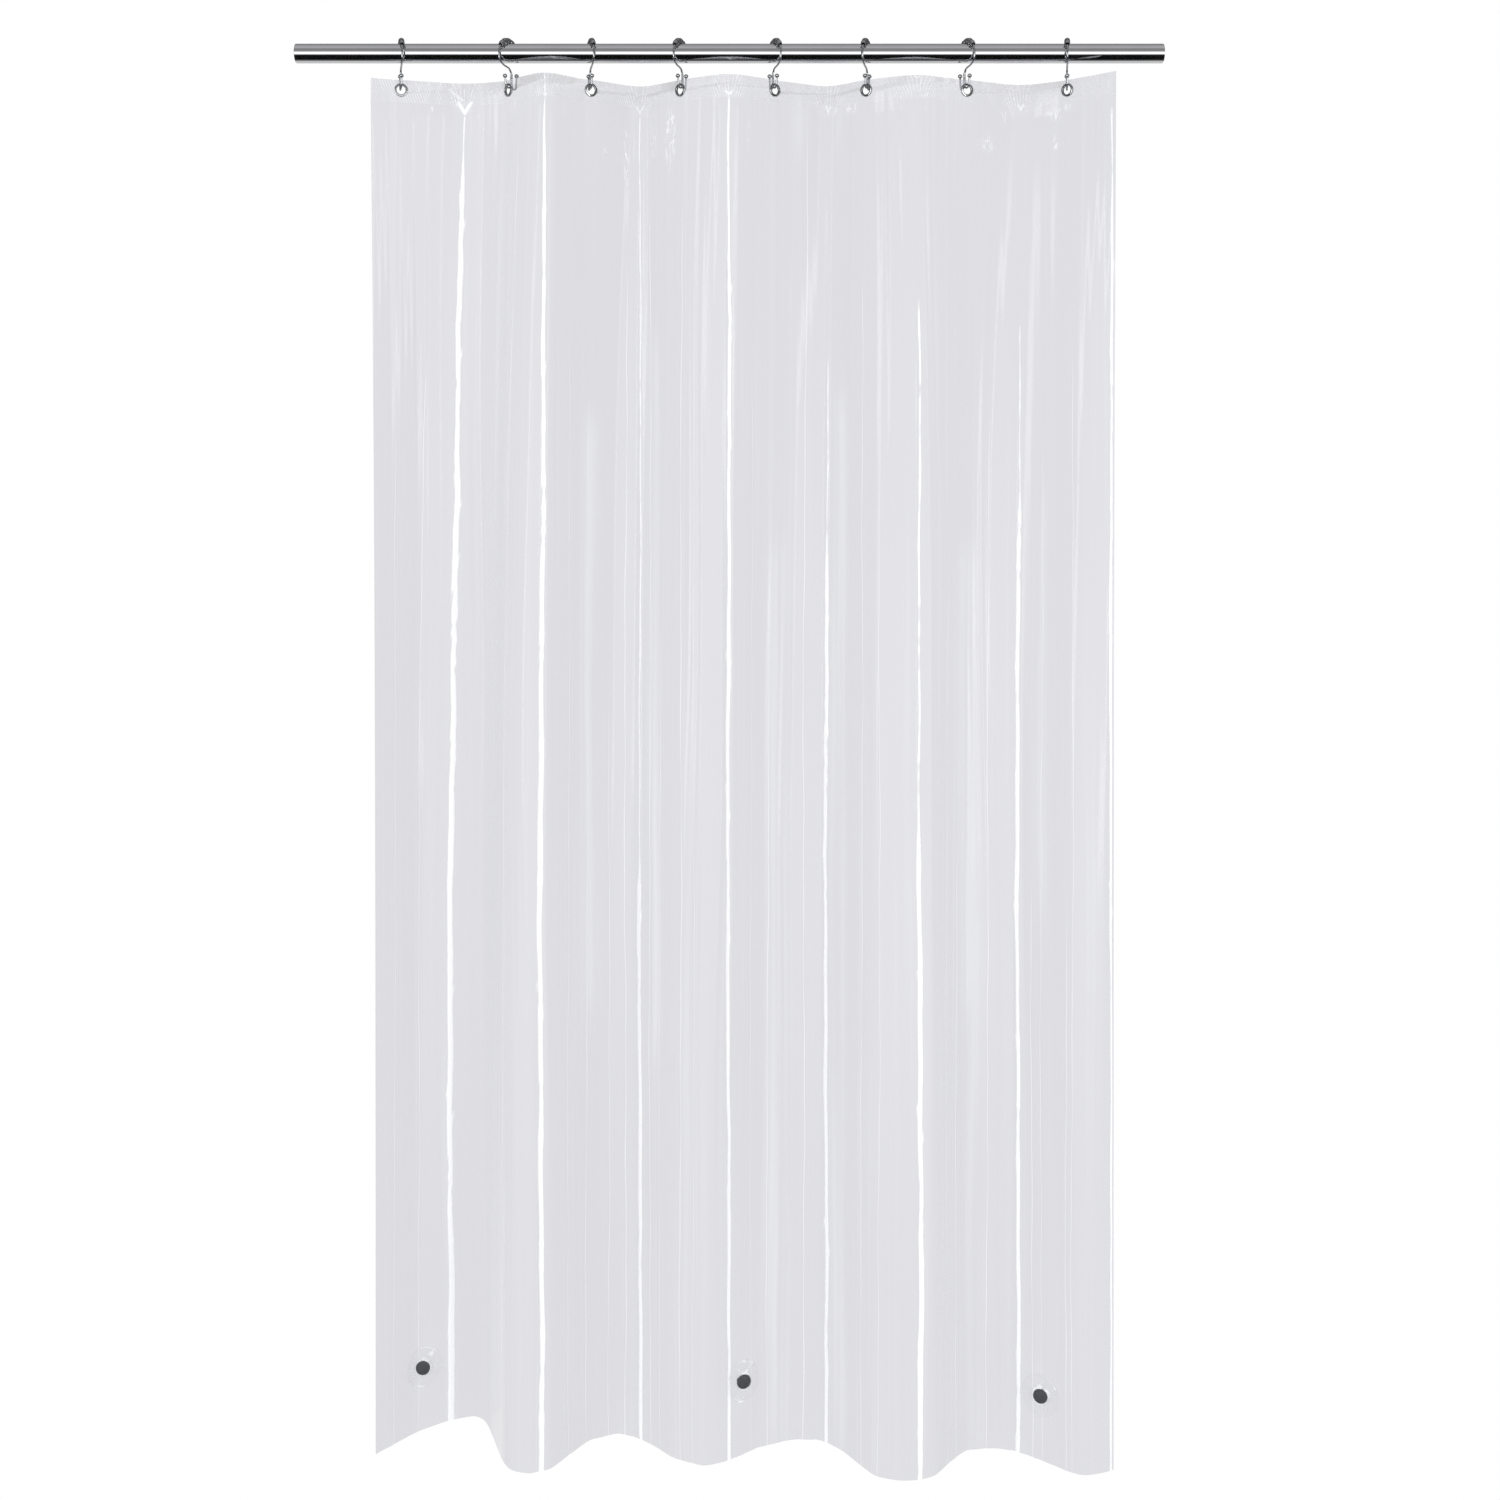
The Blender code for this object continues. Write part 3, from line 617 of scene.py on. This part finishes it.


# Small breaks in the width of the painted crease highlights, up and down the film.
knots = np.linspace(FILM_BOTTOM - 0.1, 0.8, 220)
kinks = np.random.default_rng(7).normal(0, 1, len(knots)).clip(-1.6, 1.6)
kinks = kinks * (np.random.default_rng(8).random(len(knots)) > 0.62)


def marked(s, z):
    """How white the film's fold lines and painted highlights are at (s, z), how strong its painted sheen is
    and how crumpled it is.
    """
    below = FILM_TOP - z
    jag = 1 + 0.30 * np.interp(z + 3.7 * np.round(s, 2) % 0.7, knots, kinks)
    white = np.zeros(np.shape(s))
    for c, (first, full, thin, wide) in zip(MARK_S, CREASE_HIGHLIGHTS):
        reach = (thin + (wide - thin) * rise(below, full - 0.03, full + 0.03)) * jag
        line = 1 - rise(abs(s - c), reach - 0.0003, reach + 0.0003)
        white = np.maximum(white, line * rise(below, first, first + 0.006))
    for c, first, last, wide, strength in LINES:
        line = 1 - rise(abs(s - c), wide * 0.5, wide * 1.2)
        fades = rise(below, first, first + 0.12) * (1 - rise(below, last, last + 0.02))
        fades = fades * (0.65 + 0.35 * np.sin(7 * z + 60 * c) * np.sin(23 * z + 11 * c))
        white = np.maximum(white, strength * line * fades)
    painted_sheen = np.zeros(np.shape(s))
    for c, wide, first, last, strength in SHEEN_BANDS:
        band = np.exp(-(((s - c - 0.003 * np.sin(9 * z)) / wide) ** 2))
        fades = rise(below, first - 0.04, first + 0.04) * (1 - rise(below, last - 0.06, last + 0.06))
        painted_sheen = np.maximum(painted_sheen, strength * band * fades)
    # The gathers pinch the film below the band into chevrons of painted highlight, with a long painted
    # glint beside the first.
    for c, (tip, half, tall, thick, strength) in zip(CREASE_S, PINCH_HIGHLIGHTS):
        for way in (-1, 1):
            stroke = to_segment(s - c, below, (0, tip), (way * half, tip - tall))
            white = np.maximum(white, strength * (1 - rise(stroke, thick * 0.6, thick * 1.3)))
    stroke = to_segment(s - CREASE_S[0], below, *GLINT)
    white = np.maximum(white, 0.9 * (1 - rise(stroke, 0.0008, 0.0018)))
    crumple = np.zeros(np.shape(s))
    for c, depth, wide, tall, strength in CRUMPLES:
        spot = np.exp(-(((s - c) / wide) ** 2) - ((below - depth) / tall) ** 2)
        crumple = np.maximum(crumple, strength * spot)
    return white, painted_sheen, crumple


# The grid has a column on either side of each mark, and closer rows at the gathered top.
COLUMN_GAP, LEAST_GAP, CLOSE_ROW_GAP, FAR_ROWS = 0.0022, 0.00022, 0.0013, 175
wanted = list(np.arange(0, FLAT_WIDTH, COLUMN_GAP)) + [FLAT_WIDTH, *EYELET_S]
for c, (_, _, thin, wide) in zip(MARK_S, CREASE_HIGHLIGHTS):
    beside = [reach * k for reach in (thin, wide) for k in (0.75, 0.95, 1.05, 1.3)]
    wanted += [c + way * d for way in (-1, 1) for d in beside]
for c, _, _, wide, _ in LINES:
    wanted += [c + wide * k for k in (-1.25, -0.55, 0, 0.55, 1.25)]
wanted = sorted(c for c in wanted if 0 <= c <= FLAT_WIDTH)
kept = [wanted[0]]
for c in wanted[1:]:
    crowded = c - kept[-1] <= LEAST_GAP
    needed = any(abs(c - e) < 1e-9 for e in (*EYELET_S, FLAT_WIDTH))
    if crowded and needed:
        kept.pop()
    if needed or not crowded:
        kept.append(c)
columns = np.array(kept)
rows = np.concatenate([np.arange(0, 0.046, CLOSE_ROW_GAP), np.linspace(0.047, FILM_LENGTH, FAR_ROWS)])
HOLE_RADIUS = 0.0068


def sheet_grid(name, across, below, material, lift=0.0):
    """A sheet over flat columns and rows, hung where the film hangs, lift in front of it.

    It carries its fold lines, crumples, painted highlights and painted sheen as attributes, its flat place
    as UV, and a hole for each eyelet.
    """
    shape = bmesh.new()
    bmesh.ops.create_grid(shape, x_segments=len(across) - 1, y_segments=len(below) - 1, size=1)
    grid = np.array([v.co[:2] for v in shape.verts])
    i = np.round((grid[:, 0] + 1) / 2 * (len(across) - 1)).astype(int)
    j = np.round((1 - grid[:, 1]) / 2 * (len(below) - 1)).astype(int)
    s, z = across[i], FILM_TOP - below[j]
    stray = wandering(s, z) * np.clip(s / 0.01, 0, 1) * np.clip((FLAT_WIDTH - s) / 0.01, 0, 1)
    stray = stray * np.clip((FILM_TOP - 0.03 - z) / 0.05, 0, 1)
    normals = film_normal(s + stray, z)
    for vert, point in zip(shape.verts, film_at(s + stray, z) + lift * normals):
        vert.co = point
    nearest = np.argmin([abs(s - c) for c in CREASE_S], axis=0)
    looks = dict(zip(("white", "painted_sheen", "crumple"), marked(s, z)), fold=s - np.array(CREASE_S)[nearest])
    layers = {key: shape.verts.layers.float.new(key) for key in looks}
    uv = shape.loops.layers.uv.new("film")
    for key, layer in layers.items():
        for vert, value in zip(shape.verts, looks[key]):
            vert[layer] = value
    for face in shape.faces:
        for loop in face.loops:
            k = loop.vert.index
            loop[uv].uv = (s[k], z[k] - FILM_BOTTOM)
    holes = []
    for face in shape.faces:
        k = [v.index for v in face.verts]
        ms, mz = s[k].mean(), z[k].mean()
        if min(math.hypot(ms - e, mz - EYELET_Z) for e in EYELET_S) < HOLE_RADIUS:
            holes.append(face)
    bmesh.ops.delete(shape, geom=holes, context="FACES")
    facing = normals[[v.index for v in shape.verts]]
    made = finished(name, shape, material, None)
    # Points on a shared edge take the same normal in both stretches, so that no join shows.
    first = made.data.polygons[len(made.data.polygons) // 2]
    if np.dot(np.array(first.normal), facing[first.vertices[0]]) < 0:
        made.data.flip_normals()
    made.data.normals_split_custom_set_from_vertices([tuple(n) for n in facing])
    return made


def carried(finish, attribute):
    """A number that the sheet's points carry."""
    return finish.add("Attribute", {"attribute_name": attribute}, output="Fac")


def gathers(finish):
    """The fine wrinkles that fan out from each fold where the film's top is gathered into its band.

    It gives how strong they are, the height up the band from 0 to 1, and the unevenness they follow.
    """
    fold = carried(finish, "fold")
    flat_place = finish.add("TexCoord", output="UV")
    up = finish.add("SeparateXYZ", None, {0: flat_place}, 1)
    up = (up - (FILM_LENGTH - BAND_HEIGHT)) / BAND_HEIGHT
    uneven = finish.noise((75, 22, 1), 1, 3, "UV")
    lean = (fold / 0.020).least(1.0).most(-1.0)
    fan = ((fold - 0.011 * (lean * up)) * 1700 + uneven * 5).wave()
    near = 1 - fold.size().rise(0.006, 0.036)
    left = 1 - finish.add("SeparateXYZ", None, {0: flat_place}, 0).rise(0.09, 0.12)
    within = up.rise(-0.06, 0.04)
    wrinkles = fan.rise(0.25, 0.98) * uneven.rise(0.34, 0.62) * (0.24 + 0.55 * near + 0.34 * left) * within
    return wrinkles, up, uneven


clear = Finish("clear_film", Roughness=0.10, IOR=1.45)
white, painted_sheen, crumple = (carried(clear, attribute) for attribute in ("white", "painted_sheen", "crumple"))
wrinkles, up, _ = gathers(clear)
streaks = clear.noise((70, 0.9, 1), 1, 1, "UV", 0.5)
fine_streaks = clear.noise((310, 2.0, 1), 1, 0, "UV")
cloudy = clear.noise((7, 2.2, 1), 1, 3, "UV")
curls = clear.noise((125, 34, 1), 1, 1.5, "UV")
# The film's own faint streaks and the marks where it was folded and crumpled, with painted highlights along
# its creases and pinches and a painted sheen in its shining bands.
faint = streaks.rise(0.52, 0.78) * 0.24 + fine_streaks.rise(0.60, 0.88) * 0.06
streaked_sheen = (painted_sheen * streaks.rise(0.25, 0.60)).least(1.0)
curl = (1 - (curls - 0.5).size().rise(0.012, 0.034)) * crumple.rise(0.25, 0.75)
welded = up.rise(-0.02, 0.02)
rim = 1 - up.size().rise(0.015, 0.05)
# Paler where the film is streaked, crumpled, welded and at the band's foot, with the painted sheen of its
# shining bands.
paler_and_sheen = faint * cloudy.rise(0.25, 0.7) + streaked_sheen * 0.85 + crumple * 0.12
paler_and_sheen = (paler_and_sheen + welded * 0.18 + rim * 0.12).least(1.0)
# The marks hold the fold lines, crumples and gathered wrinkles, and the painted highlights along the
# creases and pinches.
marks = white.most(wrinkles).most(curl * 0.85)
tint = clear.mixed(cloudy, (0.425, 0.423, 0.480), (0.455, 0.452, 0.505))
tone = clear.mixed(paler_and_sheen, tint, (0.86, 0.86, 0.90))
clear.set("Base Color", clear.mixed(marks, tone, (1.0, 1.0, 1.0)))
clear.set("Alpha", (0.46 + 0.16 * paler_and_sheen).most(marks * 0.98))
clear.set("Roughness", 0.08 + 0.10 * cloudy + 0.25 * marks)
clear.bump(streaks + 0.1 * fine_streaks, 0.20, 0.0005)

STRETCHES = ["left_edge", *[f"fold_{n}" for n in range(1, 8)], "right_edge"]
STRETCH_ENDS = [0, *EYELET_S, FLAT_WIDTH]
BEND = 0.014


def bend_at(piece, crease):
    """The crease's place is read, and the piece's transform is baked into its points; it is not bent."""
    x, y = joints[f"crease_{crease}"]["pos_m"][:2]
    start, end = (x - BEND, y, EYELET_Z), (x + BEND, y, EYELET_Z)
    f"panel_{crease + 1}"
    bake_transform(piece)


def hung(kind, node, below, material, lift):
    """A sheet in its nine stretches. The two at the ends ride with the first and the last panel."""
    pieces = {}
    for number, (name, first, last) in enumerate(zip(STRETCHES, STRETCH_ENDS, STRETCH_ENDS[1:])):
        inside = columns[(columns > first - 1e-9) & (columns < last + 1e-9)]
        piece = sheet_grid(f"{kind}_{name}", inside, below, material, lift)
        if name.startswith("fold"):
            bend_at(piece, number)
        else:
            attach(piece, "panel_1" if number == 0 else "panel_8")
        if number < 8:
            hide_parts(f"{node}_{number + 1}")
        pieces[name] = piece
    return pieces


film = hung("film", "film_panel", rows, clear.material, 0.0)

# ---------------------------------------------------------------- header band
# A second layer of film, 29 mm deep, welded behind the top edge to carry the eyelets. The weld gathers
# it slightly, which leaves fine slanting wrinkles that fan out from each fold.
BAND_BEHIND = 0.0007
band_finish = Finish("header_film", IOR=1.45)
wrinkles, up, uneven = gathers(band_finish)
seam = 1 - up.size().rise(0.02, 0.08)
milky = (wrinkles * 0.6 + seam * 0.3).least(1.0)
band_finish.set("Base Color", band_finish.mixed(milky, (0.96, 0.96, 0.98), (1, 1, 1)))
band_finish.set("Alpha", 0.10 + 0.05 * uneven + 0.50 * milky)
band_finish.set("Roughness", 0.18 + 0.2 * uneven)
band_finish.bump(wrinkles, 0.5, 0.0005)
band_rows = np.concatenate([np.arange(0, BAND_HEIGHT, CLOSE_ROW_GAP), [BAND_HEIGHT]])
bands = hung("header", "header_band", band_rows, band_finish.material, -BAND_BEHIND)

# ---------------------------------------------------------------- eyelets
# A plated eyelet is pressed through the film and its band at each hook: a domed flange with a rolled
# lip in front, and a washer behind that the barrel is rolled over.
BORE, BARREL, FLANGE, ROLL = 0.0059, 0.0063, 0.0088, 0.0071
LIP, DOME, FLANGE_FOOT, CURL_TOP, CURL = 0.0006, 0.0011, 0.0005, -0.0018, 0.0003
WASHER_HOLE, WASHER_FRONT, WASHER_BACK, WASHER_EDGE = BARREL + 0.0003, -0.0011, -0.0015, 0.0001
ring_finish = chrome("eyelet_finish", (0.50, 0.51, 0.52), 0.09, (6, 6, 6))
quarter = math.pi / 2
inner = BORE + LIP
lip = [(inner - LIP * math.cos(t), DOME - LIP + LIP * math.sin(t)) for t in np.linspace(0, quarter, 8)]
slope = [
    (inner + (FLANGE - inner) * math.sin(t), FLANGE_FOOT + (DOME - FLANGE_FOOT) * math.cos(t))
    for t in np.linspace(0, quarter, 12)
]
curl = [
    (ROLL - CURL * math.sin(t), CURL_TOP - CURL * (1 - math.cos(t)))
    for t in np.linspace(0.3, quarter, 5)
]
flange = lip + slope[1:] + [(BARREL, FLANGE_FOOT), (BARREL, CURL_TOP), (ROLL, CURL_TOP)] + curl
flange += [(inner, CURL_TOP - CURL), (BORE + LIP / 3, CURL_TOP - LIP / 6), (BORE, CURL_TOP + CURL)]
washer = [
    (FLANGE, WASHER_FRONT - WASHER_EDGE / 2),
    (FLANGE, WASHER_BACK + WASHER_EDGE),
    (FLANGE - WASHER_EDGE, WASHER_BACK),
    (WASHER_HOLE, WASHER_BACK),
    (WASHER_HOLE, WASHER_FRONT),
    (FLANGE - WASHER_EDGE, WASHER_FRONT),
]
FACING_REACH = 0.006
for number, (s, x) in enumerate(zip(EYELET_S, HOOK_X), 1):
    ahead = film_at(s + FACING_REACH, EYELET_Z) - film_at(s - FACING_REACH, EYELET_Z)
    facing = Matrix.Rotation(math.atan2(ahead[1], ahead[0]), 4, "Z") @ Matrix.Rotation(quarter, 4, "X")
    ring = (f"eyelet_{number}_ring", flange, f"eyelet_{number}")
    backing = (f"washer_{number}", washer, f"eyelet_{number}_washer")
    for name, profile, node in (ring, backing):
        shape = turned(profile, 64)
        shape.transform(Matrix.Translation((x, 0, EYELET_Z)) @ facing)
        piece = finished(name, shape, ring_finish, 50)
        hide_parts(node)
        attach(piece, f"panel_{number}")

# ---------------------------------------------------------------- hem magnets
# Three dark ferrite discs hold the hem against a tub. Each is sealed under a round patch of film whose
# weld has drawn the film around it into small ripples.
MAGNET_RADIUS, MAGNET_HEIGHT, MAGNET_BEVEL = 0.0095, 0.0025, 0.0004
PATCH, PATCH_GAP, PATCH_LIFT = 0.0285, 0.0005, 0.0008
# Each patch crosses the fold beside its magnet.
PATCH_CREASE = {"left": 1, "middle": 4, "right": 7}
ferrite = Finish("ferrite", Metallic=0.1)
speck = ferrite.noise((1, 1, 1), 900, 5)
worn = ferrite.noise((1, 1, 1), 160, 3)
grains = ferrite.mixed(speck.rise(0.35, 0.75), (0.035, 0.036, 0.040), (0.085, 0.086, 0.092))
ferrite.set("Base Color", grains)
ferrite.set("Roughness", 0.45 + 0.25 * worn)
ferrite.bump(speck, 0.35, 0.0002)

patch_finish = Finish("magnet_patch", IOR=1.45)
away = carried(patch_finish, "away")
wrinkle = patch_finish.noise((1, 1, 1), 95, 4)
swirl = patch_finish.noise((1, 1, 0.6), 42, 2)
outside = away.rise(0.0097, 0.0104)
halo = outside * (1 - away.rise(0.0108, 0.0165))
weld = away.rise(0.0235, 0.0262) * (1 - away.rise(0.0270, 0.0283))
# Painted highlights: a white halo just outside the disc and white crinkles on the ripples, with the weld
# ring whitened too.
crinkle_highlights = wrinkle.rise(0.52, 0.66) * swirl.rise(0.42, 0.62)
highlights_and_weld = halo * wrinkle.rise(0.30, 0.55) + crinkle_highlights * outside * 0.8
highlights_and_weld = (highlights_and_weld + weld * swirl.rise(0.45, 0.65) * 0.7).least(1.0)
patch_finish.set("Base Color", patch_finish.mixed(highlights_and_weld, (0.66, 0.66, 0.71), (1, 1, 1)))
patch_finish.set("Alpha", 0.02 + 0.08 * outside + 0.75 * highlights_and_weld)
patch_finish.set("Roughness", 0.10 + 0.15 * wrinkle)
patch_finish.bump(wrinkle + 0.5 * swirl, 0.6, 0.0010)

patches = {}
for name, (number, s, height) in MAGNETS.items():
    z = FILM_BOTTOM + height
    centre = Vector(film_at(s, z).tolist())
    normal = Vector(film_normal(s, z).tolist())
    level = Matrix.Translation(centre) @ normal.to_track_quat("Z", "Y").to_matrix().to_4x4()
    # The disc rests on the highest part of the film under it.
    turns = np.linspace(0, math.tau, 25)
    under = film_at(s + MAGNET_RADIUS * np.cos(turns), z + MAGNET_RADIUS * np.sin(turns)) - np.array(centre)
    base = max(0.0, float((under @ np.array(normal)).max())) + PATCH_GAP
    face = base + MAGNET_HEIGHT
    disc = [
        (0, face),
        (MAGNET_RADIUS - MAGNET_BEVEL, face),
        (MAGNET_RADIUS - 0.3 * MAGNET_BEVEL, face - 0.3 * MAGNET_BEVEL),
        (MAGNET_RADIUS, face - MAGNET_BEVEL),
        (MAGNET_RADIUS, base),
        (0, base),
    ]
    shape = turned(disc, 64, closed=False)
    shape.transform(level)
    magnet = finished(f"ferrite_{name}", shape, ferrite.material)
    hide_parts(f"magnet_{name}")
    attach(magnet, f"panel_{number}")

    shape = bmesh.new()
    spoke = [shape.verts.new((d, 0, 0)) for d in np.linspace(0, PATCH, 30)]
    radial = [shape.edges.new(pair) for pair in zip(spoke, spoke[1:])]
    bmesh.ops.spin(
        shape, geom=spoke + radial, cent=(0, 0, 0), axis=(0, 0, 1), angle=math.tau, steps=96, use_merge=True
    )
    bmesh.ops.remove_doubles(shape, verts=shape.verts, dist=1e-7)
    flat_place = np.array([v.co for v in shape.verts])
    distance = np.hypot(flat_place[:, 0], flat_place[:, 1])
    angle = np.arctan2(flat_place[:, 1], flat_place[:, 0])
    over = 1 - rise(distance, MAGNET_RADIUS + 0.0002, MAGNET_RADIUS + 0.0042)
    where = [Vector((130 * x, 130 * y, number)) for x, y, _ in flat_place]
    creased = np.array([noise.fractal(w, 1.0, 2.0, 3) for w in where])
    radiating = np.sin(angle * 9 + number) * np.exp(-(((distance - 0.014) / 0.006) ** 2))
    loose = (1 - over) * (1 - rise(distance, 0.022, PATCH))
    raised = PATCH_LIFT + (0.0005 * creased + 0.0004 * radiating) * loose
    flat_s, flat_z = s + flat_place[:, 0], z + flat_place[:, 1]
    laid = film_at(flat_s, flat_z) + raised[:, None] * film_normal(flat_s, flat_z)
    # Over the disc the patch lies level on its face instead of following the film.
    held = np.array([level @ Vector((x, y, face + PATCH_GAP)) for x, y, _ in flat_place])
    for vert, point in zip(shape.verts, laid + over[:, None] * (held - laid)):
        vert.co = point
    layer = shape.verts.layers.float.new("away")
    for vert, d in zip(shape.verts, distance):
        vert[layer] = d
    bmesh.ops.recalc_face_normals(shape, faces=shape.faces)
    patch = finished(f"patch_{name}", shape, patch_finish.material, None)
    if sum(p.normal.y for p in patch.data.polygons) > 0:
        patch.data.flip_normals()
    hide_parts(f"magnet_pocket_{name}")
    bend_at(patch, PATCH_CREASE[name])
    patches[name] = patch

# ---------------------------------------------------------------- the sheet as it hangs
# For every stretch, the hooks at its two ends, its length of the band, the patches welded to it and its
# flat size are listed.
for number, (name, first, last) in enumerate(zip(STRETCHES, STRETCH_ENDS, STRETCH_ENDS[1:])):
    hung_from = [f"hook_{n}_front" for n in (number, number + 1) if 1 <= n <= 8]
    going = [bands[name], *[patches[magnet] for magnet, crease in PATCH_CREASE.items() if crease == number]]
    flat_size = (last - first, FILM_LENGTH)
